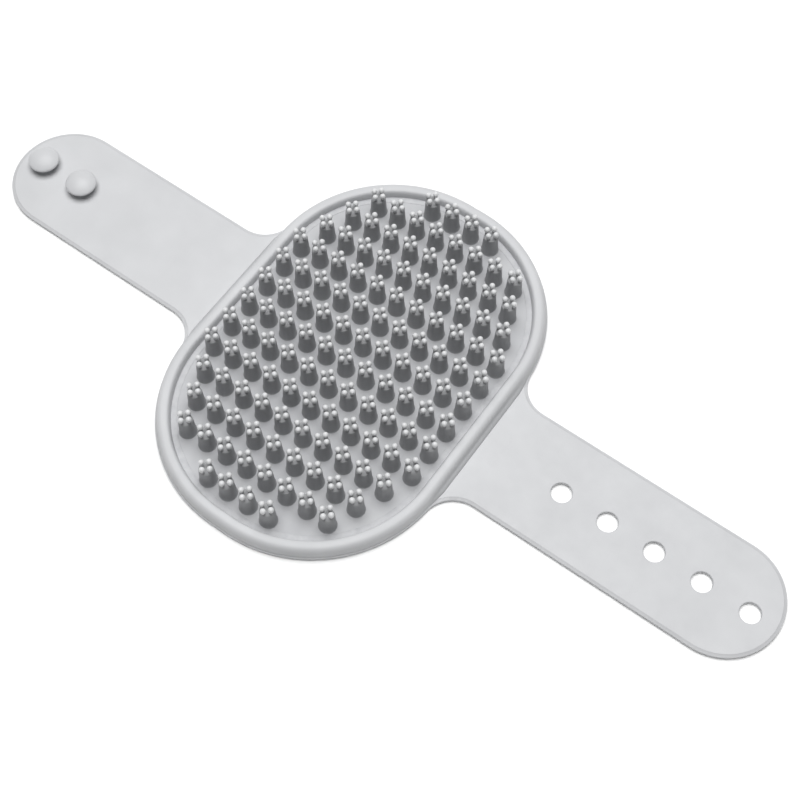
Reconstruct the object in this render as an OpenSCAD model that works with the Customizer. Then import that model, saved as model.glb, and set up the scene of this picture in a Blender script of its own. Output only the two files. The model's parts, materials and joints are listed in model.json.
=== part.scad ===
// Strap-on palm brush for grooming, moulded in silicone.
// It lies on its back: the palm side is the face z = 0 and the bristles point up.
// X runs along the two straps, Y along the pad. The origin is the centre of the palm side.

/* [Sheet and pad] */
// Width of the pad, along X
pad_w = 80.4; // [80:0.1:83]
// Length of the pad, along Y
pad_l = 116.6; // [116:0.1:124]
// Corner radius of the pad's outline
pad_r = 38; // [36:0.5:40]
// Thickness of the sheet in the pad and both straps
sheet_t = 1.2; // [1:0.05:1.3]

/* [Rim] */
// Width of the rolled bead round the pad
bead_w = 4.0; // [3.4:0.1:4.2]
// Height of the bead's crest above the palm side
bead_h = 4.2; // [3.8:0.1:4.6]
// Ledge of bare sheet outside the bead
ledge = 0.3; // [0.1:0.05:0.5]

/* [Brush mat] */
// Thickness of the mat that carries the bristles
mat_t = 0.8; // [0.6:0.1:1.2]
// Width of the groove between mat and rim, which holds the adhesive
groove_w = 1.0; // [0.6:0.1:1.2]
// Height of the adhesive in the groove
bond_h = 0.7; // [0.3:0.05:0.75]

/* [Bristles] */
// Number of bristles in each row, from the +Y end to the -Y end
row_counts = [4, 8, 9, 10, 11, 11, 11, 11, 11, 11, 10, 9, 8, 4];
// Spacing of the bristles in a row
bristle_pitch = 6.4; // [6:0.05:6.5]
// Spacing of the rows
row_pitch = 7.6; // [7:0.05:7.7]
// Radius of a bristle at its foot
foot_r = 2.45; // [2:0.05:2.6]
// Radius of a bristle at its flat top
top_r = 2.0; // [1.9:0.05:2.2]
// Height of a bristle's cone
cone_h = 6.4; // [4:0.1:8]
// Radius of the ring that the four prongs stand on
prong_ring_r = 1.3; // [1.1:0.05:1.35]
// Radius of a prong where it leaves the flat top
prong_foot_r = 0.38; // [0.3:0.02:0.45]
// Radius of a prong under its ball
prong_neck_r = 0.48; // [0.4:0.02:0.5]
// Radius of the ball on each prong
ball_r = 0.6; // [0.55:0.01:0.65]
// Height of the ball's centre above the flat top
ball_rise = 2.0; // [1.4:0.1:2.4]

/* [Straps] */
// Width of both straps
strap_w = 32; // [30:0.5:34]
// Radius where a strap flares into the pad
flare_r = 9; // [7:0.5:10]
// Distance of the stud strap's tip from the pad's centre
stud_tip = 115.5; // [114:0.1:117]
// Distance of the hole strap's tip from the pad's centre
hole_tip = 127.8; // [126.5:0.1:129]
// Gap between two links of a strap at the line where they bend
bend_gap = 0.6; // [0.5:0.05:0.8]
// Distances of the stud strap's bend lines from the pad's centre
stud_bends = [43, 48.9, 54.4, 61.2, 67, 75];
// Distances of the hole strap's bend lines from the pad's centre, clear of its holes
hole_bends = [43, 49.2, 54.7, 61.3, 71.1, 85.5];

/* [Fastening] */
// Spacing of the holes, and of the two studs
fasten_pitch = 13.7; // [13.5:0.05:13.9]
// Distance of the first hole from the pad's centre
first_hole = 65; // [64.8:0.05:65.2]
// Number of holes
hole_count = 5; // [1:1:5]
// Radius of a hole
hole_r = 2.75; // [2.6:0.05:2.9]
// Distance of the inner stud from the pad's centre
inner_stud = 94.7; // [94.5:0.05:94.9]
// Radius of a stud's neck
neck_r = 2.2; // [1.8:0.05:2.3]
// Height of a stud's neck
neck_h = 1.9; // [1.8:0.1:2.2]
// Radius of a stud's head
head_r = 4.3; // [3.8:0.1:4.6]
// Thickness of the head at its edge
head_edge = 0.5; // [0.3:0.1:0.8]
// Rise of the head's dome above its edge
dome_rise = 1.5; // [1:0.1:2]

/* [Hidden] */
$fn = 64;
silicone = "#c9cacb";
silicone_shade = "#b4b5b7";
stud_links = len(stud_bends);
hole_links = len(hole_bends);
rows = len(row_counts);
floor_z = sheet_t + mat_t;
bead_r = bead_w / 2;
// How far a prong's foot is sunk into its cone
sink = 0.3;
// Length by which cutters run past what they cut
over = 1;

function numbered(name, i) = str(name, "_", i < 10 ? "0" : "", i);
row_names = [for (i = [1:rows]) numbered("bristle_row", i)];
stud_link_names = [for (i = [1:stud_links]) numbered("stud_strap", i)];
hole_link_names = [for (i = [1:hole_links]) numbered("hole_strap", i)];

// The pad's outline, drawn in by an inset all round.
module pad_outline(inset = 0) {
    w = pad_w - 2 * inset;
    l = pad_l - 2 * inset;
    r = pad_r - inset;
    square([w, l - 2 * r], center = true);
    square([w - 2 * r, l], center = true);
    for (sx = [-1, 1], sy = [-1, 1])
        translate([sx * (w / 2 - r), sy * (l / 2 - r)])
            circle(r, $fn = 128);
}

// A strap that runs along +X from inside the pad to its tip, with flared corners at the pad.
module strap_outline(tip) {
    tip_r = strap_w / 2;
    corner_y = pad_l / 2 - pad_r;
    rise = tip_r + flare_r - corner_y;
    flare_x = pad_w / 2 - pad_r + sqrt(pow(pad_r + flare_r, 2) - rise * rise);
    touch_y = corner_y + pad_r * rise / (pad_r + flare_r);
    translate([pad_w / 4, -tip_r])
        square([tip - tip_r - pad_w / 4, strap_w]);
    translate([tip - tip_r, 0])
        circle(tip_r, $fn = 96);
    for (s = [-1, 1])
        mirror([0, s < 0 ? 1 : 0])
            difference() {
                translate([pad_w / 2 - flare_r, 0])
                    square([flare_x - pad_w / 2 + flare_r, touch_y]);
                translate([flare_x, tip_r + flare_r])
                    circle(flare_r);
            }
}

// The part of a +X strap between two distances from the pad's centre.
module strap_slice(tip, x0, x1) {
    intersection() {
        strap_outline(tip);
        translate([x0, -pad_l / 2])
            square([x1 - x0, pad_l]);
    }
}

// The sheet behind the palm, with the first stretch of both straps.
module palm_sheet() {
    root_end = stud_bends[0] - bend_gap / 2;
    color(silicone)
        linear_extrude(sheet_t) {
            pad_outline();
            strap_slice(hole_tip, 0, root_end);
            mirror([1, 0])
                strap_slice(stud_tip, 0, root_end);
        }
}

// The bead's section: a wall with a round top, standing on the sheet.
module bead_section() {
    translate([-bead_r, sheet_t])
        square([bead_w, bead_h - bead_r - sheet_t]);
    intersection() {
        translate([0, bead_h - bead_r])
            circle(bead_r);
        translate([-bead_r, bead_h - bead_r])
            square([bead_w, bead_r]);
    }
}

// One straight stretch of the bead, centred on the origin and running along Y.
module bead_run(length) {
    rotate([90, 0, 0])
        linear_extrude(length, center = true)
            bead_section();
}

// The rolled bead round the pad: four straight runs and four quarter turns.
module rim_bead() {
    inset = ledge + bead_r;
    r = pad_r - inset;
    half_w = pad_w / 2 - inset;
    half_l = pad_l / 2 - inset;
    color(silicone)
        union() {
            for (s = [-1, 1]) {
                translate([s * half_w, 0, 0])
                    bead_run(2 * (half_l - r));
                translate([0, s * half_l, 0])
                    rotate(90)
                        bead_run(2 * (half_w - r));
            }
            for (q = [0:3]) {
                sx = q == 0 || q == 3 ? 1 : -1;
                sy = q < 2 ? 1 : -1;
                translate([sx * (half_w - r), sy * (half_l - r), 0])
                    rotate(90 * q)
                        rotate_extrude(angle = 90, $fn = 128)
                            translate([r, 0])
                                bead_section();
            }
        }
}

// The adhesive in the groove between the mat and the bead.
module bond_bead() {
    inner_edge = ledge + bead_w;
    color(silicone_shade)
        translate([0, 0, sheet_t])
            linear_extrude(bond_h)
                difference() {
                    pad_outline(inner_edge);
                    pad_outline(inner_edge + groove_w);
                }
}

// The mat that carries the bristles.
module brush_mat() {
    color(silicone_shade)
        translate([0, 0, sheet_t])
            linear_extrude(mat_t)
                pad_outline(ledge + bead_w + groove_w);
}

// One ball-topped prong, standing on the flat top of its cone.
module prong() {
    translate([0, 0, -sink])
        cylinder(h = ball_rise + sink, r1 = prong_foot_r, r2 = prong_neck_r, $fn = 24);
    translate([0, 0, ball_rise])
        sphere(ball_r, $fn = 24);
}

// One bristle, with its foot at the origin.
module bristle() {
    cylinder(h = cone_h, r1 = foot_r, r2 = top_r, $fn = 32);
    for (a = [0:90:270])
        rotate(a)
            translate([prong_ring_r, 0, cone_h])
                prong();
}

// One row of bristles across the pad; row 1 is at the +Y end.
module bristle_row(i) {
    count = row_counts[i - 1];
    color(silicone_shade)
        for (k = [0:count - 1])
            translate([(k - (count - 1) / 2) * bristle_pitch, ((rows + 1) / 2 - i) * row_pitch, floor_z])
                bristle();
}

// One link of a +X strap, from its own bend line to the next one or to the tip.
module strap_link(tip, bends, i) {
    start = bends[i - 1] + bend_gap / 2;
    stop = i < len(bends) ? bends[i] - bend_gap / 2 : tip + over;
    linear_extrude(sheet_t)
        strap_slice(tip, start, stop);
}

// One link of the stud strap; link 1 is next to the pad.
module stud_link(i) {
    color(silicone)
        mirror([1, 0, 0])
            strap_link(stud_tip, stud_bends, i);
}

// One link of the hole strap, with the holes that fall on it.
module hole_link(i) {
    color(silicone)
        difference() {
            strap_link(hole_tip, hole_bends, i);
            for (k = [0:hole_count - 1])
                translate([first_hole + k * fasten_pitch, 0, -over])
                    cylinder(h = sheet_t + 2 * over, r = hole_r);
        }
}

// One fastening stud: a round neck under a domed head.
module stud(x) {
    dome_r = (head_r * head_r + dome_rise * dome_rise) / (2 * dome_rise);
    head_z = sheet_t + neck_h;
    color(silicone)
        translate([-x, 0, 0]) {
            translate([0, 0, sheet_t])
                cylinder(h = neck_h, r = neck_r);
            translate([0, 0, head_z])
                intersection() {
                    cylinder(h = head_edge + dome_rise + over, r = head_r);
                    translate([0, 0, head_edge + dome_rise - dome_r])
                        sphere(dome_r, $fn = 96);
                }
        }
}

palm_sheet();
rim_bead();
bond_bead();
brush_mat();
for (i = [1:rows])
    bristle_row(i);
for (i = [1:stud_links])
    stud_link(i);
stud(inner_stud);  // stud_inner
stud(inner_stud + fasten_pitch);  // stud_outer
for (i = [1:hole_links])
    hole_link(i);
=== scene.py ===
"""Looks of a silicone grooming glove: a palm pad of ball-tipped bristles, a rolled rim and two straps.

The straps fasten round the hand with two mushroom studs, which are pushed through a row of holes. Every
length is in metres unless its name or comment says otherwise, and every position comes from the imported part.
"""

import json
import logging
import math
from dataclasses import dataclass, field
from enum import Enum

import bmesh
import bpy
from bmesh.types import BMEdge, BMesh, BMVert
from bpy.types import Material, NodeSocket, NodeTree, Object
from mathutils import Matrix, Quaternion, Vector
from mathutils.geometry import tessellate_polygon


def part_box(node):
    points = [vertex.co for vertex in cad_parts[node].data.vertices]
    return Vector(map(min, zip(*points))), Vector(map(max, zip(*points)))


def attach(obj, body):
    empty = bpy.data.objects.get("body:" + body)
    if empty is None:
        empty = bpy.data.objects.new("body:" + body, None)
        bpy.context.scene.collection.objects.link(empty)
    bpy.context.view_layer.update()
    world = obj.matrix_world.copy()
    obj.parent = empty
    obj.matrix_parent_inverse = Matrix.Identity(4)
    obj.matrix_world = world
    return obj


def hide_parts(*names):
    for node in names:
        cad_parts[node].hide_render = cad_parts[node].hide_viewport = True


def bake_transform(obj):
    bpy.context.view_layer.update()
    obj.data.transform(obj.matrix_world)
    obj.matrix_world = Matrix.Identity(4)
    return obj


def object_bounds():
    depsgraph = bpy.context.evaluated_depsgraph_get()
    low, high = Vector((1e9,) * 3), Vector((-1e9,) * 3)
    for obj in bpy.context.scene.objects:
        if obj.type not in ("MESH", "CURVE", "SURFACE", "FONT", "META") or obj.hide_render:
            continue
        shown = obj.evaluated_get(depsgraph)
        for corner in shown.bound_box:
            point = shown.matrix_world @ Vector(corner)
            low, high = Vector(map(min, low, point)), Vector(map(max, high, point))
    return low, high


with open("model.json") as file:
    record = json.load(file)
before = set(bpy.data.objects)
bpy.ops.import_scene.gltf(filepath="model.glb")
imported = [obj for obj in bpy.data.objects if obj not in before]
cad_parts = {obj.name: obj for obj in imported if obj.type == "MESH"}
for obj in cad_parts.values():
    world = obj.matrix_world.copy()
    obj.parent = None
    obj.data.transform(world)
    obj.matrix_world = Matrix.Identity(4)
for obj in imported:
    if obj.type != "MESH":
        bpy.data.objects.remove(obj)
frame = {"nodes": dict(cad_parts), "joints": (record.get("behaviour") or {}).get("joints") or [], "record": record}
PACKED_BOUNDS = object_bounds()
MM = 0.001
FULL_TURN = 2 * math.pi
QUARTER_TURN = math.pi / 2
WELD = 1e-7
TINY = 1e-6

Pairs = list[tuple[float, float]]

logging.basicConfig(level=logging.INFO, format="%(message)s")
log = logging.getLogger("glove")


class Body(str, Enum):
    """The rigid bodies that pieces ride on, apart from the strap links."""

    PALM = "palm"


class Slot(str, Enum):
    """The record's material slots."""

    GLOVE = "glove_body"
    MAT = "brush_mat"
    BRISTLES = "bristles"
    STUDS = "studs"
    ADHESIVE = "adhesive"


class Strap(Enum):
    """The two straps: how the names of their nodes start, and the side of the palm that they leave from."""

    STUD = ("stud_strap", -1)
    HOLE = ("hole_strap", 1)

    @property
    def label(self) -> str:
        """Start of the names of this strap's nodes."""
        return self.value[0]

    @property
    def side(self) -> int:
        """+1 for the strap on +X, -1 for the one on -X."""
        return self.value[1]


# ---- node and mesh helpers


def node(tree: NodeTree, kind: str, inputs: dict | None = None, **settings) -> bpy.types.Node:
    """Adds a node to a tree.

    Args:
        tree: the shader or geometry tree.
        kind: the node's type name.
        inputs: constants or output sockets, by input name or index.
        settings: the node's own properties.

    Returns:
        The new node.
    """
    made = tree.nodes.new(kind)
    for key, value in settings.items():
        setattr(made, key, value)
    for key, value in (inputs or {}).items():
        if isinstance(value, NodeSocket):
            tree.links.new(value, made.inputs[key])
        else:
            made.inputs[key].default_value = value
    return made


def maths(tree: NodeTree, operation: str, *values, clamp: bool = False) -> NodeSocket:
    """Adds a maths node on numbers or sockets and returns its result socket."""
    made = node(tree, "ShaderNodeMath", dict(enumerate(values)), operation=operation, use_clamp=clamp)
    return made.outputs[0]


def blank_finish(name: str) -> Material:
    """Makes a material with an empty shader tree."""
    made = bpy.data.materials.new(name)
    made.use_nodes = True
    made.node_tree.nodes.clear()
    return made


def linear(code: str) -> tuple[float, float, float, float]:
    """Turns an sRGB hex colour into the linear colour that shaders take."""
    parts = [int(code[i : i + 2], 16) / 255 for i in (1, 3, 5)]
    scaled = [c / 12.92 if c <= 0.04045 else ((c + 0.055) / 1.055) ** 2.4 for c in parts]
    return (*scaled, 1.0)


def linked(name: str, data: bpy.types.ID) -> Object:
    """Makes an object that shows the data, and links it to the scene."""
    made = bpy.data.objects.new(name, data)
    bpy.context.scene.collection.objects.link(made)
    return made


def mesh_object(name: str, bm: BMesh) -> Object:
    """Makes an object from a bmesh, which is freed, with its normals turned outward."""
    bmesh.ops.recalc_face_normals(bm, faces=bm.faces)
    mesh = bpy.data.meshes.new(name)
    bm.to_mesh(mesh)
    bm.free()
    return linked(name, mesh)


def arc(centre: tuple[float, float], radius: float, start: float, stop: float, steps: int) -> Pairs:
    """Points along an arc, both ends included."""
    turn = [start + (stop - start) * i / steps for i in range(steps + 1)]
    return [(centre[0] + radius * math.cos(a), centre[1] + radius * math.sin(a)) for a in turn]


def lathe(bm: BMesh, profile: Pairs, steps: int, centre: tuple[float, float]) -> None:
    """Turns a profile about a vertical axis.

    Args:
        bm: the mesh that the turned shape is added to.
        profile: (radius, height) pairs; a radius of 0 closes the shape at a pole.
        steps: how many faces go round.
        centre: x and y of the axis.
    """
    rings = []
    for radius, height in profile:
        if radius <= 0:
            rings.append([bm.verts.new((*centre, height))])
            continue
        circle = arc(centre, radius, 0, FULL_TURN, steps)[:-1]
        rings.append([bm.verts.new((x, y, height)) for x, y in circle])
    join_rings(bm, rings)


def join_rings(bm: BMesh, rings: list[list[BMVert]]) -> None:
    """Joins rings of vertices one after the other with smooth faces; a ring of one vertex is a pole."""
    for low, high in zip(rings, rings[1:]):
        count = max(len(low), len(high))
        for i in range(count):
            j = (i + 1) % count
            corners = [low[i % len(low)], low[j % len(low)], high[j % len(high)], high[i % len(high)]]
            face = bm.faces.new(list(dict.fromkeys(corners)))
            face.smooth = True


def edge_rounding(bottom: float, top: float, radius: float, steps: int = 4) -> Pairs:
    """Section of a sheet's rounded edge.

    Args:
        bottom: height of the lower face.
        top: height of the upper face.
        radius: radius of both edges.
        steps: how many faces each edge is rounded with.

    Returns:
        (inset, height) pairs from the lower face to the upper one, with a flat step at each end.
    """
    turn = [QUARTER_TURN * i / steps for i in range(steps + 1)]
    low = [(radius * (1 - math.sin(a)), bottom + radius * (1 - math.cos(a))) for a in turn]
    high = [(inset, top + bottom - height) for inset, height in reversed(low)]
    ease = radius * 1.35
    return [(ease, bottom), *low, *high, (ease, top)]


def bevelled_edge(bottom: float, top: float, band: float, drop: float) -> Pairs:
    """Section of a sheet's edge with a rounded foot and a wide, shallow bevel round its upper face.

    Args:
        bottom: height of the lower face.
        top: height of the upper face.
        band: width of the bevel.
        drop: height of the bevel.

    Returns:
        (inset, height) pairs from the lower face to the upper one.
    """
    soft = 0.12 * MM
    shoulder = top - drop
    low = [(soft, bottom), (0.3 * soft, bottom + 0.3 * soft), (0.0, bottom + soft)]
    high = [(0.0, shoulder - 1.2 * soft), (0.25 * soft, shoulder - 0.5 * soft), (soft, shoulder)]
    return low + high + [(band, top - 0.5 * soft), (band + 0.4 * soft, top)]


def fill_flat(bm: BMesh, loops: list[list[BMVert]]) -> None:
    """Fills the flat area inside the first loop and outside the others."""
    corners = [v for loop in loops for v in loop]
    for triangle in tessellate_polygon([[v.co for v in loop] for loop in loops]):
        face = bm.faces.new([corners[i] for i in triangle])
        face.smooth = True


def add_piece(obj: Object, finish: Material, slot: Slot, *nodes: str) -> Object:
    """Gives a piece its finish and hides the CAD nodes that it stands for, logging its faces."""
    if not obj.data.materials:
        obj.data.materials.append(finish)
    if nodes:
        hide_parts(*nodes)
    shown_for = ", ".join(nodes) or "no node of its own"
    log.info("%s: %d faces, for %s", obj.name, len(obj.data.polygons), shown_for)
    return obj


# ---- finishes


@dataclass(frozen=True)
class Silicone:
    """Moulded silicone: a soft matt skin, faintly mottled, with a fine tooth left by the mould.

    Attributes:
        name: name of the finish.
        pale: colour of the lighter patches.
        deep: colour of the darker patches.
        roughness: mean roughness of the skin.
        spread: how far the roughness strays to each side.
        patch: size of the mottling.
        grain: size of the tooth.
        grain_depth: depth of the tooth.
        tip_polish: how much less rough the skin is above tip_from.
        tip_from: height above which the skin is smoother and painted paler as a painted highlight, or None.
        tip: colour of the painted highlight above that height.
    """

    name: str
    pale: str
    deep: str
    roughness: float = 0.5
    spread: float = 0.05
    patch: float = 14 * MM
    grain: float = 0.32 * MM
    grain_depth: float = 0.0035 * MM
    tip_polish: float = 0.2
    tip_from: float | None = None
    tip: str = "#FFFFFF"

    def build(self) -> Material:
        """Builds the finish and returns it."""
        made = blank_finish(self.name)
        tree = made.node_tree
        place = node(tree, "ShaderNodeTexCoord").outputs["Object"]
        mottle = node(tree, "ShaderNodeTexNoise", {"Vector": place, "Scale": 1 / self.patch, "Detail": 3.0})
        fine = node(tree, "ShaderNodeTexNoise", {"Vector": place, "Scale": 5 / self.patch, "Detail": 2.0})
        span = {"From Min": 0.3, "From Max": 0.7}
        tone = node(tree, "ShaderNodeMapRange", {"Value": mottle.outputs[0], **span})
        patches = {0: tone.outputs[0], 6: linear(self.deep), 7: linear(self.pale)}
        colour = node(tree, "ShaderNodeMix", patches, data_type="RGBA")
        least, most = self.roughness - self.spread, self.roughness + self.spread
        strays = {"Value": fine.outputs[0], **span, "To Min": least, "To Max": most}
        rough = node(tree, "ShaderNodeMapRange", strays).outputs[0]
        if self.tip_from is not None:
            height = node(tree, "ShaderNodeSeparateXYZ", {0: place}).outputs["Z"]
            above = maths(tree, "GREATER_THAN", height, self.tip_from)
            rough = maths(tree, "SUBTRACT", rough, maths(tree, "MULTIPLY", above, self.tip_polish))
            # Above tip_from the colour turns to the tip colour, a painted highlight.
            tips = {0: above, 6: colour.outputs[2], 7: linear(self.tip)}
            colour = node(tree, "ShaderNodeMix", tips, data_type="RGBA")
        tooth = node(tree, "ShaderNodeTexNoise", {"Vector": place, "Scale": 1 / self.grain, "Detail": 1.0})
        bump = node(tree, "ShaderNodeBump", {"Height": tooth.outputs[0], "Distance": self.grain_depth})
        skin = node(
            tree,
            "ShaderNodeBsdfPrincipled",
            {
                "Base Color": colour.outputs[2],
                "Roughness": rough,
                "IOR": 1.41,
                "Specular IOR Level": 0.45,
                "Subsurface Weight": 0.06,
                "Subsurface Radius": (1.0, 0.98, 0.95),
                "Subsurface Scale": 0.8 * MM,
                "Normal": bump.outputs[0],
            },
        )
        node(tree, "ShaderNodeOutputMaterial", {"Surface": skin.outputs[0]})
        return made


@dataclass(frozen=True)
class Paper:
    """Seamless studio paper: bright, even and matt, with a faint fibre.

    Attributes:
        name: name of the finish.
        tone: colour of the paper.
        fibre: size of the fibre.
        fibre_depth: depth of the fibre.
    """

    name: str = "studio_paper"
    tone: str = "#F7F7F7"
    fibre: float = 1.2 * MM
    fibre_depth: float = 0.01 * MM

    def build(self) -> Material:
        """Builds the finish and returns it."""
        made = blank_finish(self.name)
        tree = made.node_tree
        place = node(tree, "ShaderNodeTexCoord").outputs["Object"]
        fibre = node(tree, "ShaderNodeTexNoise", {"Vector": place, "Scale": 1 / self.fibre, "Detail": 2.0})
        bump = node(tree, "ShaderNodeBump", {"Height": fibre.outputs[0], "Distance": self.fibre_depth})
        skin = node(
            tree,
            "ShaderNodeBsdfPrincipled",
            {
                "Base Color": linear(self.tone),
                "Roughness": 0.9,
                "Specular IOR Level": 0.1,
                "Normal": bump.outputs[0],
            },
        )
        node(tree, "ShaderNodeOutputMaterial", {"Surface": skin.outputs[0]})
        return made


@dataclass
class Finishes:
    """Every finish of the scene, built once."""

    glove: Material = field(init=False)
    mat: Material = field(init=False)
    bristles: Material = field(init=False)
    studs: Material = field(init=False)
    adhesive: Material = field(init=False)

    def __post_init__(self) -> None:
        """Builds the finishes: matt for the glove and mat, smoother for the ball tips and the studs; the bristles
        are darkened with painted shade and their ball tips paled with a painted highlight.
        """
        self.glove = Silicone("moulded_silicone_matt", "#C7C8CA", "#C1C2C4").build()
        # The mat's colours are its own silicone tone, taken a little darker as painted shade for the shade between
        # the bristles.
        self.mat = Silicone("moulded_silicone_mat", "#B9BABC", "#B0B1B4", roughness=0.55).build()
        # The bristles' colours are darker than the glove's as painted shade on their walls, and the tip colour is
        # a painted highlight on the balls.
        self.bristles = Silicone(
            "moulded_silicone_bristles_painted_shade_and_highlight",
            "#9FA0A2",
            "#98999B",
            roughness=0.48,
            patch=9 * MM,
            grain=0.2 * MM,
            grain_depth=0.003 * MM,
            tip_from=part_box("bristle_row_01")[1].z - 1.75 * MM,
            tip="#DADBDC",
        ).build()
        self.studs = Silicone(
            "moulded_silicone_satin", "#C9CACC", "#C4C5C7", roughness=0.42, grain_depth=0.003 * MM
        ).build()
        self.adhesive = Silicone(
            "clear_silicone_adhesive", "#B9BABC", "#AEAFB2", roughness=0.45, patch=2 * MM
        ).build()


# ---- glove sheet


@dataclass
class GloveOutline:
    """Outline of the glove seen from above: the oblong pad, the flared strap roots and the round tips.

    Attributes:
        pad_corner: radius of the pad's corners.
        strap_width: width of both straps.
        flare: radius where a strap meets the pad.
        tip_steps: points along a quarter of a strap's round tip.
        flare_steps: points along a flare.
        corner_steps: points along a corner of the pad.
    """

    pad_corner: float = 38 * MM
    strap_width: float = 32 * MM
    flare: float = 9 * MM
    tip_steps: int = 26
    flare_steps: int = 16
    corner_steps: int = 34

    def __post_init__(self) -> None:
        """Takes the pad's size and the straps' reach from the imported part."""
        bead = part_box("rim_bead")
        low, high = PACKED_BOUNDS
        self.ledge = high.y - bead[1].y
        self.pad_half = Vector((bead[1].x + self.ledge, high.y))
        self.reach = {Strap.STUD: -low.x, Strap.HOLE: high.x}
        self.corner = Vector((self.pad_half.x - self.pad_corner, self.pad_half.y - self.pad_corner))
        rise = self.strap_width / 2 + self.flare - self.corner.y
        run = math.sqrt((self.pad_corner + self.flare) ** 2 - rise**2)
        self.flare_centre = Vector((self.corner.x + run, self.strap_width / 2 + self.flare))
        self.tangent = math.atan2(rise, run)

    def quarter(self, tip: float, inset: float) -> Pairs:
        """Points of a quarter of the outline, from a strap's tip to the middle of the pad's end.

        Args:
            tip: how far the strap reaches from the middle.
            inset: how far inside the outline the points lie.

        Returns:
            (x, y) pairs with both numbers 0 or more.
        """
        half = self.strap_width / 2
        leave, meet = 3 * QUARTER_TURN, math.pi + self.tangent
        points = arc((tip - half, 0), half - inset, 0, QUARTER_TURN, self.tip_steps)
        points += arc(self.flare_centre, self.flare + inset, leave, meet, self.flare_steps)
        points += arc(self.corner, self.pad_corner - inset, self.tangent, QUARTER_TURN, self.corner_steps)[1:]
        return points

    def points(self, inset: float) -> Pairs:
        """The closed outline, anticlockwise, moved inward by inset."""
        hole = self.quarter(self.reach[Strap.HOLE], inset)
        stud = [(-x, y) for x, y in reversed(self.quarter(self.reach[Strap.STUD], inset))]
        upper = hole + stud
        lower = [(x, -y) for x, y in reversed(upper)]
        return upper + lower[1:-1]


@dataclass
class Bend:
    """One place where a strap bends: a joint, and the stretch of sheet that turns about it."""

    joint: dict
    start: float
    stop: float


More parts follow.
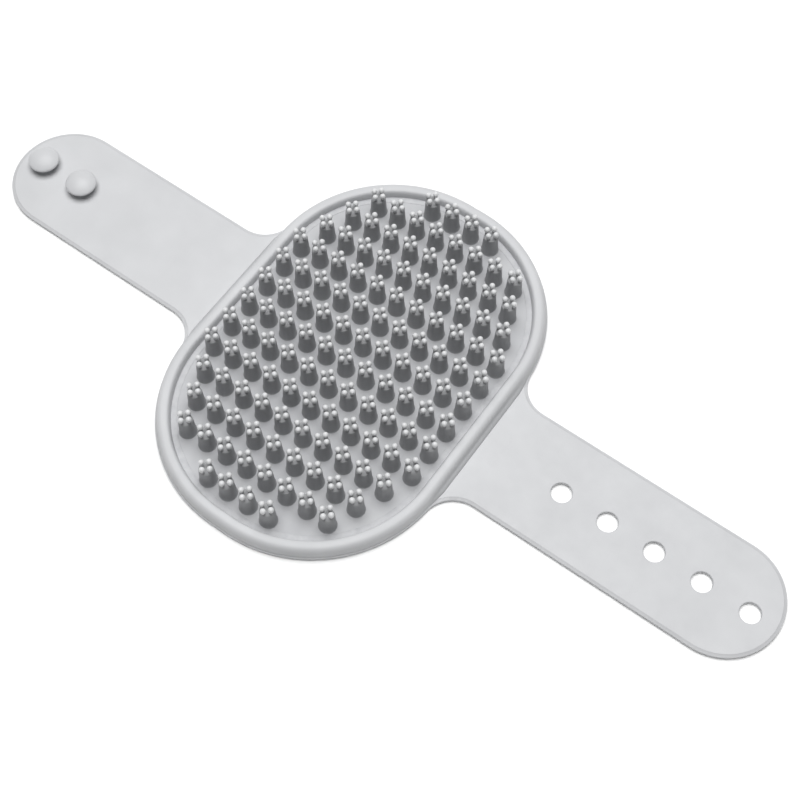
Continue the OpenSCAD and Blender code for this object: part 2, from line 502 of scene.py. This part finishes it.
@dataclass
class GloveSheet:
    """The one moulded sheet that is the palm's backing and both straps, cut where its joints turn.

    Attributes:
        outline: shape from above.
        finish: finish of the sheet.
        band: width of the bevel round the sheet.
        band_drop: height of that bevel.
        hole_edge: radius of the holes' edges.
        hole_radius: radius of the fastening holes.
        hole_steps: how many faces go round a hole.
        root_gap: distance from the pad's edge to where the first bend may start.
        loop_step: distance between the loops that let a bend curve smoothly.
    """

    outline: GloveOutline
    finish: Material
    band: float = 0.85 * MM
    band_drop: float = 0.16 * MM
    hole_edge: float = 0.28 * MM
    hole_radius: float = 2.75 * MM
    hole_steps: int = 40
    root_gap: float = 1.0 * MM
    loop_step: float = 0.6 * MM

    def __post_init__(self) -> None:
        """Takes the sheet's height and the holes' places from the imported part."""
        self.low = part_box("palm_sheet")[0].z
        self.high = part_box("palm_sheet")[1].z
        mounts = frame["record"]["mounts"]
        found = [m["pos_m"] for m in mounts if m["name"].startswith("strap_hole")]
        self.holes = sorted((p[0], p[1]) for p in found)

    def solid(self) -> BMesh:
        """The whole sheet as one closed solid with rounded edges and open holes."""
        bm = bmesh.new()
        section = bevelled_edge(self.low, self.high, self.band, self.band_drop)
        outer = [[bm.verts.new((x, y, z)) for x, y in self.outline.points(inset)] for inset, z in section]
        join_rings(bm, outer)
        caps = [[outer[0]], [outer[-1]]]
        lip = edge_rounding(self.low, self.high, self.hole_edge)
        for centre in self.holes:
            rings = []
            for inset, z in lip:
                circle = arc(centre, self.hole_radius + inset, 0, FULL_TURN, self.hole_steps)[:-1]
                rings.append([bm.verts.new((x, y, z)) for x, y in circle])
            join_rings(bm, rings)
            caps[0].append(rings[0])
            caps[1].append(rings[-1])
        for loops in caps:
            fill_flat(bm, loops)
            for loop in loops:
                for near, far in zip(loop, loop[1:] + loop[:1]):
                    bm.edges.get((near, far)).smooth = False
        bmesh.ops.dissolve_degenerate(bm, dist=TINY, edges=bm.edges)
        bmesh.ops.recalc_face_normals(bm, faces=bm.faces)
        return bm

    def bends(self, strap: Strap) -> list[Bend]:
        """The strap's bends from root to tip, each with an even reach to both sides of its axis."""
        joints = [j for j in frame["joints"] if j["child"].startswith(strap.label)]
        joints.sort(key=lambda j: abs(j["pos_m"][0]))
        centres = [abs(j["pos_m"][0]) for j in joints]
        edges = [self.outline.pad_half.x + self.root_gap]
        edges += [(a + b) / 2 for a, b in zip(centres, centres[1:])]
        edges += [centres[-1] + (centres[-1] - centres[-2]) / 2]
        made = []
        for joint, centre, near, far in zip(joints, centres, edges, edges[1:]):
            reach = min(centre - near, far - centre)
            made.append(Bend(joint, strap.side * (centre - reach), strap.side * (centre + reach)))
        return made

    def cut(
        self, whole: BMesh, name: str, span: tuple[float, float], loops: list[float]
    ) -> Object:
        """Cuts a closed piece out of the sheet.

        Args:
            whole: the whole sheet.
            name: name of the piece.
            span: lowest and highest x of the piece.
            loops: x of the extra loops across the piece.

        Returns:
            The piece as an object.
        """
        bm = whole.copy()
        for x, side in ((span[0], 1), (span[1], -1)):
            everything = bm.verts[:] + bm.edges[:] + bm.faces[:]
            found = bmesh.ops.bisect_plane(
                bm, geom=everything, dist=WELD, plane_co=(x, 0, 0), plane_no=(-side, 0, 0), clear_outer=True
            )
            edges = [e for e in found["geom_cut"] if isinstance(e, BMEdge)]
            if edges:
                bmesh.ops.holes_fill(bm, edges=edges, sides=0)
        for x in loops:
            everything = bm.verts[:] + bm.edges[:] + bm.faces[:]
            bmesh.ops.bisect_plane(bm, geom=everything, dist=WELD, plane_co=(x, 0, 0), plane_no=(1, 0, 0))
        bmesh.ops.dissolve_degenerate(bm, dist=TINY, edges=bm.edges)
        for face in bm.faces:
            if any(all(abs(v.co.x - x) < TINY for v in face.verts) for x in span):
                face.smooth = False
                for edge in face.edges:
                    edge.smooth = False
        return mesh_object(name, bm)

    def build(self) -> None:
        """Builds the palm's backing, the bending stretches and the two tips."""
        whole = self.solid()
        bends = {strap: self.bends(strap) for strap in Strap}
        left, right = bends[Strap.STUD][0].start, bends[Strap.HOLE][0].start
        palm = self.cut(whole, "palm_backing", (left, right), [])
        add_piece(palm, self.finish, Slot.GLOVE, "palm_sheet")
        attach(palm, Body.PALM.value)
        for strap, stretches in bends.items():
            self.build_strap(whole, strap, stretches)
        whole.free()

    def build_strap(self, whole: BMesh, strap: Strap, stretches: list[Bend]) -> None:
        """Builds one strap's bending stretches, and its tip."""
        for index, bend in enumerate(stretches):
            last = index + 1 == len(stretches)
            end = bend.stop if last else stretches[index + 1].start
            count = max(4, round(abs(bend.stop - bend.start) / self.loop_step))
            loops = [bend.start + (bend.stop - bend.start) * i / count for i in range(1, count)]
            if abs(end - bend.stop) > TINY:
                loops.append(bend.stop)
            span = tuple(sorted((bend.start, end)))
            child = bend.joint["child"]
            piece = self.cut(whole, f"{child}_bend", span, loops)
            nodes = () if last else (child,)
            add_piece(piece, self.finish, Slot.GLOVE, *nodes)
            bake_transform(piece)
        tip = strap.side * (self.outline.reach[strap] + MM)
        span = tuple(sorted((stretches[-1].stop, tip)))
        child = stretches[-1].joint["child"]
        piece = add_piece(self.cut(whole, f"{strap.label}_tip", span, []), self.finish, Slot.GLOVE, child)
        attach(piece, child)


# ---- geometry node trees


@dataclass
class Growth:
    """A Geometry Nodes tree with named inputs, and the way it is turned into a plain mesh.

    Attributes:
        name: name of the tree.
        inputs: input names and their socket types; Finish is added to them.
    """

    name: str
    inputs: dict[str, str]

    def __post_init__(self) -> None:
        """Makes the tree with its input and output sockets."""
        self.tree = bpy.data.node_groups.new(self.name, "GeometryNodeTree")
        self.sockets = {}
        for label, kind in {**self.inputs, "Finish": "NodeSocketMaterial"}.items():
            made = self.tree.interface.new_socket(label, in_out="INPUT", socket_type=kind)
            self.sockets[label] = made.identifier
        self.tree.interface.new_socket("Geometry", in_out="OUTPUT", socket_type="NodeSocketGeometry")
        self.given = node(self.tree, "NodeGroupInput").outputs

    def finish(self, geometry: NodeSocket) -> None:
        """Ends the tree with Realize Instances and Set Material."""
        real = node(self.tree, "GeometryNodeRealizeInstances", {0: geometry})
        smooth = node(self.tree, "GeometryNodeSetShadeSmooth", {0: real.outputs[0]})
        painted = node(
            self.tree, "GeometryNodeSetMaterial", {0: smooth.outputs[0], "Material": self.given["Finish"]}
        )
        node(self.tree, "NodeGroupOutput", {0: painted.outputs[0]})

    def grow(self, name: str, **values) -> Object:
        """Runs the tree.

        Args:
            name: name of the piece.
            values: the tree's inputs, with spaces in their names as underscores.

        Returns:
            The piece as a plain mesh with outward normals.
        """
        holder = linked(name, bpy.data.meshes.new(name))
        modifier = holder.modifiers.new("grow", "NODES")
        modifier.node_group = self.tree
        for label, value in values.items():
            modifier[self.sockets[label.replace("_", " ")]] = value
        view = bpy.context.evaluated_depsgraph_get()
        evaluated = holder.evaluated_get(view)
        grown = bpy.data.meshes.new_from_object(evaluated, preserve_all_data_layers=True, depsgraph=view)
        holder.modifiers.clear()
        bm = bmesh.new()
        bm.from_mesh(grown)
        bmesh.ops.remove_doubles(bm, verts=bm.verts, dist=WELD)
        bmesh.ops.recalc_face_normals(bm, faces=bm.faces)
        bm.to_mesh(grown)
        bm.free()
        holder.data = grown
        return holder


def rounded_path(growth: Growth, corner_steps: int, points: int) -> NodeSocket:
    """Adds a path round a rounded rectangle, from the inputs Width, Length, Corner and Height."""
    tree, given = growth.tree, growth.given
    loop = node(
        tree, "GeometryNodeCurvePrimitiveQuadrilateral", {"Width": given["Width"], "Height": given["Length"]}
    )
    corners = {"Curve": loop.outputs[0], "Radius": given["Corner"], "Count": corner_steps}
    rounded = node(tree, "GeometryNodeFilletCurve", corners, mode="POLY")
    even = node(tree, "GeometryNodeResampleCurve", {"Curve": rounded.outputs[0], "Count": points})
    lift = node(tree, "ShaderNodeCombineXYZ", {"Z": given["Height"]})
    placed = node(tree, "GeometryNodeSetPosition", {"Geometry": even.outputs[0], "Offset": lift.outputs[0]})
    return placed.outputs[0]


# ---- rim, adhesive and mat


@dataclass
class RimBead:
    """The rolled rim round the pad, steeper inside, with a soft foot where it runs out onto the straps.

    Attributes:
        finish: finish of the rim.
        outline: shape of the glove from above.
        foot_spread: how far the soft foot runs out onto a strap.
        foot_height: how far up the rim the soft foot starts.
        foot_power: how sharply the foot falls away with height.
        foot_fade: where the foot starts and is full, as shares of the strap's half width.
        sink: how far the rim reaches into the sheet under it.
        width: width of the rim.
        steps: how many faces go over the rim.
        outer_slope: power that shapes the outer side; below 1 is steeper than a half-round.
        inner_slope: the same for the inner side.
        crest: power that shapes the crest; below 1 is flatter than a half-round.
        lean: how far the sides draw in at the crest, as a share of the half width.
    """

    finish: Material
    outline: GloveOutline
    foot_spread: float = 0.9 * MM
    foot_height: float = 1.5 * MM
    foot_power: float = 2.2
    foot_fade: tuple[float, float] = (1.5, 1.05)
    sink: float = 0.35 * MM
    width: float = 4.0 * MM
    steps: int = 28
    outer_slope: float = 0.85
    inner_slope: float = 0.45
    crest: float = 0.75
    lean: float = 0.1

    def __post_init__(self) -> None:
        """Takes the rim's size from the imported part."""
        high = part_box("rim_bead")[1]
        sheet_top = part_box("palm_sheet")[1].z
        self.half = Vector((high.x, high.y))
        self.base = sheet_top
        self.rise = high.z - sheet_top

    def section(self) -> Object:
        """The rim's cross-section as a closed loop: local x is outward and local y is down."""
        half, rise = self.width / 2, self.rise
        points = []
        for i in range(self.steps + 1):
            turn = math.pi * i / self.steps
            slope = self.outer_slope if math.cos(turn) > 0 else self.inner_slope
            out = half * math.copysign(abs(math.cos(turn)) ** slope, math.cos(turn))
            up = rise * math.sin(turn) ** self.crest
            points.append((out * (1 - self.lean * up / rise), -max(up, 0.0)))
        points.append((-half, self.sink))
        points.append((half, self.sink))
        mesh = bpy.data.meshes.new("rim_section")
        count = len(points)
        corners = [(out, down, 0) for out, down in points]
        mesh.from_pydata(corners, [(i, (i + 1) % count) for i in range(count)], [])
        return linked("rim_section", mesh)

    def tree(self) -> Growth:
        """The tree that sweeps the section round the pad and spreads its foot onto the straps."""
        sizes = ("Width", "Length", "Corner", "Height", "Middle", "Strap half", "Foot spread", "Foot height")
        inputs = {"Section": "NodeSocketObject", **dict.fromkeys(sizes, "NodeSocketFloat")}
        growth = Growth("rim_sweep", inputs)
        tree, given = growth.tree, growth.given
        path = rounded_path(growth, corner_steps=40, points=300)
        source = node(tree, "GeometryNodeObjectInfo", {"Object": given["Section"]})
        section = node(tree, "GeometryNodeMeshToCurve", {0: source.outputs["Geometry"]})
        swept = node(tree, "GeometryNodeCurveToMesh", {"Curve": path, "Profile Curve": section.outputs[0]})
        place = node(tree, "GeometryNodeInputPosition").outputs[0]
        axes = node(tree, "ShaderNodeSeparateXYZ", {0: place})
        across = maths(tree, "ABSOLUTE", axes.outputs["X"])
        along = maths(tree, "ABSOLUTE", axes.outputs["Y"])
        outside = maths(tree, "GREATER_THAN", across, given["Middle"])
        near = node(
            tree,
            "ShaderNodeMapRange",
            {
                "Value": along,
                "From Min": maths(tree, "MULTIPLY", given["Strap half"], self.foot_fade[0]),
                "From Max": maths(tree, "MULTIPLY", given["Strap half"], self.foot_fade[1]),
            },
            interpolation_type="SMOOTHSTEP",
        )
        up = maths(tree, "SUBTRACT", axes.outputs["Z"], given["Height"])
        low = maths(tree, "SUBTRACT", 1.0, maths(tree, "DIVIDE", up, given["Foot height"]), clamp=True)
        share = maths(tree, "MULTIPLY", maths(tree, "POWER", low, self.foot_power), near.outputs[0])
        amount = maths(tree, "MULTIPLY", maths(tree, "MULTIPLY", share, outside), given["Foot spread"])
        signed = maths(tree, "MULTIPLY", amount, maths(tree, "SIGN", axes.outputs["X"]))
        shift = node(tree, "ShaderNodeCombineXYZ", {"X": signed})
        spread = node(
            tree, "GeometryNodeSetPosition", {"Geometry": swept.outputs[0], "Offset": shift.outputs[0]}
        )
        growth.finish(spread.outputs[0])
        return growth

    def build(self) -> None:
        """Builds the rim."""
        section = self.section()
        middle = self.half - Vector((self.width, self.width)) / 2
        piece = self.tree().grow(
            "rim",
            Section=section,
            Width=2 * middle.x,
            Length=2 * middle.y,
            Corner=self.outline.pad_corner - self.outline.ledge - self.width / 2,
            Height=self.base,
            Middle=middle.x,
            Strap_half=self.outline.strap_width / 2,
            Foot_spread=self.foot_spread,
            Foot_height=self.foot_height,
            Finish=self.finish,
        )
        bpy.data.objects.remove(section)
        add_piece(piece, self.finish, Slot.GLOVE, "rim_bead")
        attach(piece, Body.PALM.value)


@dataclass
class AdhesiveLine:
    """The thin uneven line of adhesive in the groove between the rim and the brush mat.

    Attributes:
        finish: finish of the adhesive.
        outline: shape of the glove from above.
        unevenness: how far the line wanders.
        overlap: how far the line laps over the mat's edge.
        tuck: how far it reaches under the rim.
        proud: how far it stands above the mat.
        wander: length of one wander.
        softness: radius of the line's edges, as a share of its thickness.
        seed: picks the run of the wander.
    """

    finish: Material
    outline: GloveOutline
    unevenness: float = 0.5 * MM
    overlap: float = 0.55 * MM
    tuck: float = 0.4 * MM
    proud: float = 0.09 * MM
    wander: float = 3.5 * MM
    softness: float = 0.12
    seed: float = 4.0

    def __post_init__(self) -> None:
        """Takes the line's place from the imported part."""
        bond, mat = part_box("bond_bead")[1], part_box("brush_mat")[1]
        self.width = bond.x - mat.x
        self.middle = Vector((bond.x - self.width / 2, bond.y - self.width / 2))
        self.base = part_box("palm_sheet")[1].z
        self.top = mat.z + self.proud

    def tree(self) -> Growth:
        """The tree that sweeps a flat-topped band round the groove and lets it wander."""
        sizes = ("Width", "Length", "Corner", "Height", "Radius", "Thickness", "Unevenness", "Wander", "Seed")
        growth = Growth("adhesive_sweep", dict.fromkeys(sizes, "NodeSocketFloat"))
        tree, given = growth.tree, growth.given
        path = rounded_path(growth, corner_steps=40, points=420)
        place = node(tree, "GeometryNodeInputPosition").outputs[0]
        scale = maths(tree, "DIVIDE", 1.0, given["Wander"])
        waves = {"Vector": place, "W": given["Seed"], "Scale": scale, "Detail": 2.0}
        noise = node(tree, "ShaderNodeTexNoise", waves, noise_dimensions="4D")
        swing = {0: noise.outputs["Color"], 1: (0.5, 0.5, 0.5)}
        centred = node(tree, "ShaderNodeVectorMath", swing, operation="SUBTRACT")
        mostly_sideways = {0: centred.outputs[0], 1: (1.0, 1.0, 0.06)}
        flat = node(tree, "ShaderNodeVectorMath", mostly_sideways, operation="MULTIPLY")
        scaled = {0: flat.outputs[0], "Scale": given["Unevenness"]}
        amount = node(tree, "ShaderNodeVectorMath", scaled, operation="SCALE")
        wandering = node(tree, "GeometryNodeSetPosition", {"Geometry": path, "Offset": amount.outputs[0]})
        band = node(
            tree,
            "GeometryNodeCurvePrimitiveQuadrilateral",
            {"Width": maths(tree, "MULTIPLY", given["Radius"], 2.0), "Height": given["Thickness"]},
        )
        softness = maths(tree, "MULTIPLY", given["Thickness"], self.softness)
        corners = {"Curve": band.outputs[0], "Radius": softness, "Count": 3}
        section = node(tree, "GeometryNodeFilletCurve", corners, mode="POLY")
        curves = {"Curve": wandering.outputs[0], "Profile Curve": section.outputs[0]}
        swept = node(tree, "GeometryNodeCurveToMesh", curves)
        growth.finish(swept.outputs[0])
        return growth

    def build(self) -> None:
        """Builds the line."""
        radius = (self.width + self.overlap + self.tuck) / 2
        middle = self.middle - Vector((1, 1)) * (self.overlap - self.tuck) / 2
        piece = self.tree().grow(
            "adhesive_line",
            Width=2 * middle.x,
            Length=2 * middle.y,
            Corner=self.outline.pad_corner - (self.outline.pad_half.x - middle.x),
            Height=(self.base + self.top) / 2,
            Radius=radius,
            Thickness=self.top - self.base,
            Unevenness=self.unevenness,
            Wander=self.wander,
            Seed=self.seed,
            Finish=self.finish,
        )
        add_piece(piece, self.finish, Slot.ADHESIVE, "bond_bead")
        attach(piece, Body.PALM.value)


@dataclass
class BrushMat:
    """The mat that the bristles stand on, with a softly rounded and slightly wavy edge.

    Attributes:
        finish: finish of the mat.
        outline: shape of the glove from above.
        edge: radius of the mat's upper edge.
        waviness: how far the edge wanders.
        waves: the edge's waves, each as how many go round, where it starts and its share.
        corner_steps: points along a corner.
    """

    finish: Material
    outline: GloveOutline
    edge: float = 0.14 * MM
    waviness: float = 0.05 * MM
    waves: tuple[tuple[int, float, float], ...] = ((17, 0.6, 0.5), (41, 2.1, 0.3), (5, 0.0, 0.2))
    corner_steps: int = 40

    def points(self, inset: float) -> Pairs:
        """The mat's outline, anticlockwise, moved inward by inset."""
        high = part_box("brush_mat")[1]
        radius = self.outline.pad_corner - (self.outline.pad_half.x - high.x)
        middle = (high.x - radius, high.y - radius)
        points = []
        for k, (sx, sy) in enumerate(((1, 1), (-1, 1), (-1, -1), (1, -1))):
            start = k * QUARTER_TURN
            centre = (sx * middle[0], sy * middle[1])
            points += arc(centre, radius - inset, start, start + QUARTER_TURN, self.corner_steps)
        waved = []
        for x, y in points:
            turn = math.atan2(y, x)
            wave = sum(math.sin(count * turn + start) * share for count, start, share in self.waves)
            shrink = 1 - self.waviness * (1 + wave) / math.hypot(x, y)
            waved.append((x * shrink, y * shrink))
        return waved

    def build(self) -> None:
        """Builds the mat."""
        low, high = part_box("brush_mat")
        bm = bmesh.new()
        section = edge_rounding(low.z, high.z, self.edge)
        rings = [[bm.verts.new((x, y, z)) for x, y in self.points(inset)] for inset, z in section]
        join_rings(bm, rings)
        for ring in (rings[0], rings[-1]):
            fill_flat(bm, [ring])
        piece = add_piece(mesh_object("mat", bm), self.finish, Slot.MAT, "brush_mat")
        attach(piece, Body.PALM.value)


# ---- bristles


@dataclass
class BristleField:
    """The rows of bristles: each is a tapered peg with four ball-tipped prongs on its flat top.

    Attributes:
        finish: finish of the bristles.
        pitch: distance between the bristles of a row.
        foot: radius of a peg at its foot.
        top: radius of a peg's flat top.
        peg_height: height of a peg without its prongs.
        prong_ring: distance of the prongs from the peg's middle.
        prong_foot: radius of a prong at its foot.
        ball: radius of a prong's ball tip.
        tilt: how far a peg may lean, in radians.
        peg_steps: how many faces go round a peg.
        prong_steps: how many faces go round a prong.
    """

    finish: Material
    pitch: float = 6.4 * MM
    foot: float = 2.3 * MM
    top: float = 1.95 * MM
    peg_height: float = 6.4 * MM
    prong_ring: float = 1.42 * MM
    prong_foot: float = 0.45 * MM
    ball: float = 0.8 * MM
    tilt: float = 0.006
    peg_steps: int = 24
    prong_steps: int = 10

    def __post_init__(self) -> None:
        """Finds the rows and the mat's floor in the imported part."""
        self.rows = sorted(name for name in frame["nodes"] if name.startswith("bristle_row_"))
        self.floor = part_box("brush_mat")[1].z
        self.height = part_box(self.rows[0])[1].z - self.floor

    def peg_profile(self) -> Pairs:
        """(radius, height) of the peg from its foot to the middle of its flat top."""
        foot, top, height = self.foot, self.top, self.peg_height
        return [
            (foot + 0.22 * MM, -0.05 * MM),
            (foot + 0.12 * MM, 0.06 * MM),
            (foot + 0.02 * MM, 0.25 * MM),
            (foot - 0.03 * MM, 0.6 * MM),
            ((foot + top) / 2, height / 2),
            (top + 0.02 * MM, height - 0.34 * MM),
            (top - 0.05 * MM, height - 0.12 * MM),
            (top - 0.20 * MM, height - 0.01 * MM),
            (top - 0.34 * MM, height),
            (0, height),
        ]

    def prong_profile(self) -> Pairs:
        """(radius, height) of a prong from its foot to the top of its ball."""
        base, tip, ball = self.peg_height, self.height, self.ball
        centre = tip - ball
        return [
            (self.prong_foot + 0.14 * MM, base - 0.03 * MM),
            (self.prong_foot, base + 0.16 * MM),
            (self.prong_foot + 0.02 * MM, base + 0.75 * MM),
            (ball * 0.84, centre - ball * 0.72),
            (ball, centre),
            (ball * 0.87, centre + ball * 0.5),
            (ball * 0.5, centre + ball * 0.87),
            (0, tip),
        ]

    def pattern(self) -> Object:
        """One bristle standing at the origin."""
        bm = bmesh.new()
        lathe(bm, self.peg_profile(), self.peg_steps, (0, 0))
        for centre in arc((0, 0), self.prong_ring, 0, FULL_TURN, 4)[:-1]:
            lathe(bm, self.prong_profile(), self.prong_steps, centre)
        return mesh_object("bristle_pattern", bm)

    def tree(self) -> Growth:
        """The tree that stands bristles along a row, each leaning a little its own way."""
        growth = Growth(
            "bristle_row_growth",
            {
                "Bristle": "NodeSocketObject",
                "Count": "NodeSocketInt",
                "First": "NodeSocketVector",
                "Step": "NodeSocketVector",
                "Tilt": "NodeSocketFloat",
                "Seed": "NodeSocketInt",
            },
        )
        tree, given = growth.tree, growth.given
        places = {"Count": given["Count"], "Start Location": given["First"], "Offset": given["Step"]}
        row = node(tree, "GeometryNodeMeshLine", places, mode="OFFSET")
        source = node(tree, "GeometryNodeObjectInfo", {"Object": given["Bristle"]})
        lean = node(
            tree,
            "FunctionNodeRandomValue",
            {0: (-1.0, -1.0, -2.5), 1: (1.0, 1.0, 2.5), "Seed": given["Seed"]},
            data_type="FLOAT_VECTOR",
        )
        scaled = {0: lean.outputs[0], "Scale": given["Tilt"]}
        amount = node(tree, "ShaderNodeVectorMath", scaled, operation="SCALE")
        standing = node(
            tree,
            "GeometryNodeInstanceOnPoints",
            {"Points": row.outputs[0], "Instance": source.outputs["Geometry"], "Rotation": amount.outputs[0]},
        )
        growth.finish(standing.outputs[0])
        return growth

    def build(self) -> None:
        """Builds every row."""
        pattern, growth = self.pattern(), self.tree()
        for index, name in enumerate(self.rows, 1):
            low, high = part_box(name)
            count = round((high.x - low.x - 2 * self.foot) / self.pitch) + 1
            first = ((low.x + high.x) / 2 - (count - 1) / 2 * self.pitch, (low.y + high.y) / 2, self.floor)
            piece = growth.grow(
                f"bristles_{index:02d}",
                Bristle=pattern,
                Count=count,
                First=first,
                Step=(self.pitch, 0.0, 0.0),
                Tilt=self.tilt,
                Seed=index,
                Finish=self.finish,
            )
            add_piece(piece, self.finish, Slot.BRISTLES, name)
            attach(piece, Body.PALM.value)
        bpy.data.objects.remove(pattern)


# ---- studs


@dataclass
class MushroomStud:
    """A fastening stud: a short neck with a soft foot under a domed head.

    Attributes:
        node_name: the CAD node that the stud stands for.
        finish: finish of the stud.
        neck: radius of the neck.
        neck_height: height of the neck.
        lip: height of the head's upright edge.
        dome_steps: points from the head's edge to the top of its dome.
        steps: how many faces go round.
    """

    node_name: str
    finish: Material
    neck: float = 2.2 * MM
    neck_height: float = 1.9 * MM
    lip: float = 0.5 * MM
    dome_steps: int = 12
    steps: int = 56

    def profile(self, base: float, head: float, top: float) -> Pairs:
        """(radius, height) from the foot to the top of the dome.

        Args:
            base: height of the strap's face.
            head: radius of the head.
            top: height of the dome's top.

        Returns:
            The profile, closed at its pole.
        """
        under = base + self.neck_height
        spring = under + self.lip
        rise = top - spring
        sphere = (head**2 + rise**2) / (2 * rise)
        points = [
            (self.neck + 0.75 * MM, base - 0.03 * MM),
            (self.neck + 0.3 * MM, base + 0.14 * MM),
            (self.neck + 0.06 * MM, base + 0.4 * MM),
            (self.neck, base + 0.75 * MM),
            (self.neck, under - 0.3 * MM),
            (self.neck + 0.12 * MM, under - 0.05 * MM),
            (self.neck + 0.4 * MM, under),
            (head - 0.45 * MM, under),
            (head - 0.16 * MM, under + 0.04 * MM),
            (head - 0.03 * MM, under + 0.15 * MM),
            (head, under + 0.3 * MM),
            (head - 0.02 * MM, spring - 0.02 * MM),
        ]
        widest = math.asin(head / sphere)
        for i in range(1, self.dome_steps):
            turn = widest * (1 - i / self.dome_steps)
            points.append((sphere * math.sin(turn), top - sphere + sphere * math.cos(turn)))
        points.append((0, top))
        return points

    def build(self, body: str) -> None:
        """Builds the stud on a strap link."""
        low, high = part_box(self.node_name)
        centre = ((low.x + high.x) / 2, (low.y + high.y) / 2)
        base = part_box("palm_sheet")[1].z
        bm = bmesh.new()
        lathe(bm, self.profile(base, (high.x - low.x) / 2, high.z), self.steps, centre)
        bm.faces.new([v for v in bm.verts if v.co.z < base])
        piece = add_piece(mesh_object(f"{self.node_name}_head", bm), self.finish, Slot.STUDS, self.node_name)
        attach(piece, body)


# ---- stage


@dataclass(frozen=True)
class Softbox:
    """A square soft light aimed at the object.

    Attributes:
        name: name of the light.
        place: where it hangs, from the middle of the object's underside.
        size: side of the square.
        power: in watts.
    """

    name: str
    place: tuple[float, float, float]
    size: float
    power: float

    def build(self, target: Vector) -> None:
        """Hangs the light and aims it at the target."""
        data = bpy.data.lights.new(self.name, "AREA")
        data.shape = "SQUARE"
        data.size = self.size
        data.energy = self.power
        made = linked(self.name, data)
        made.location = target + Vector(self.place)
        made.rotation_euler = (-Vector(self.place)).to_track_quat("-Z", "Y").to_euler()


@dataclass
class Stage:
    """White paper floor, one large soft light above and behind, a weak fill, and the camera.

    Attributes:
        azimuth: degrees round the object; 0 looks along +Y and 90 along -X.
        elevation: degrees above the horizon.
        distance: from the camera to what it looks at.
        aim: what the camera looks at, from the middle of the object's underside.
        lens: focal length in mm on a 36 mm sensor.
        roll: degrees the camera is turned about its own axis.
        lights: the key light and the fill.
        air: strength of the even light from all round.
        floor_half: half the side of the paper.
        floor_gap: how far the paper lies below the object, so that no two faces coincide.
    """

    azimuth: float = 34.92
    elevation: float = 62.88
    distance: float = 402.8 * MM
    aim: tuple[float, float] = (9.93 * MM, -1.92 * MM)
    lens: float = 69.26
    roll: float = 0.7
    lights: tuple[Softbox, ...] = (
        Softbox("key_softbox", (-0.2, 0.25, 1.6), 1.4, 35.0),
        Softbox("fill_softbox", (0.7, -1.0, 1.3), 1.0, 1.5),
    )
    air: float = 0.1
    floor_half: float = 2.5
    floor_gap: float = 0.03 * MM

    def backward(self) -> Vector:
        """Direction from what the camera looks at to the camera."""
        turn, rise = math.radians(self.azimuth), math.radians(self.elevation)
        return Vector((math.sin(turn) * math.cos(rise), -math.cos(turn) * math.cos(rise), math.sin(rise)))

    def build(self) -> None:
        """Builds the stage."""
        scene = bpy.context.scene
        low, high = PACKED_BOUNDS
        middle = Vector(((low.x + high.x) / 2, (low.y + high.y) / 2, low.z))
        bm = bmesh.new()
        bmesh.ops.create_grid(bm, x_segments=2, y_segments=2, size=self.floor_half)
        floor = mesh_object("paper_floor", bm)
        floor.location = (0, 0, low.z - self.floor_gap)
        floor.data.materials.append(Paper().build())
        for light in self.lights:
            light.build(middle)
        world = bpy.data.worlds.new("studio_air")
        world.use_nodes = True
        air = world.node_tree.nodes["Background"]
        air.inputs["Color"].default_value = (1.0, 1.0, 1.0, 1.0)
        air.inputs["Strength"].default_value = self.air
        scene.world = world
        scene.view_settings.view_transform = "Standard"
        camera = linked("camera", bpy.data.cameras.new("camera"))
        camera.data.lens = self.lens
        camera.data.sensor_width = 36
        camera.data.clip_start = 0.01
        camera.data.clip_end = 20
        aim = middle + Vector((*self.aim, 0))
        camera.location = aim + self.backward() * self.distance
        facing = (-self.backward()).to_track_quat("-Z", "Y")
        camera.rotation_euler = (facing @ Quaternion((0, 0, 1), math.radians(self.roll))).to_euler()
        scene.camera = camera


# ---- main


def main() -> None:
    """Builds the glove from its backing up, then the stage."""
    finishes = Finishes()
    outline = GloveOutline()
    sheet = GloveSheet(outline, finishes.glove)
    sheet.build()
    RimBead(finishes.glove, outline).build()
    AdhesiveLine(finishes.adhesive, outline).build()
    BrushMat(finishes.mat, outline).build()
    BristleField(finishes.bristles).build()
    last = sheet.bends(Strap.STUD)[-1].joint["child"]
    for name in ("stud_inner", "stud_outer"):
        MushroomStud(name, finishes.studs).build(last)
    Stage().build()


if __name__ == "__main__":
    main()
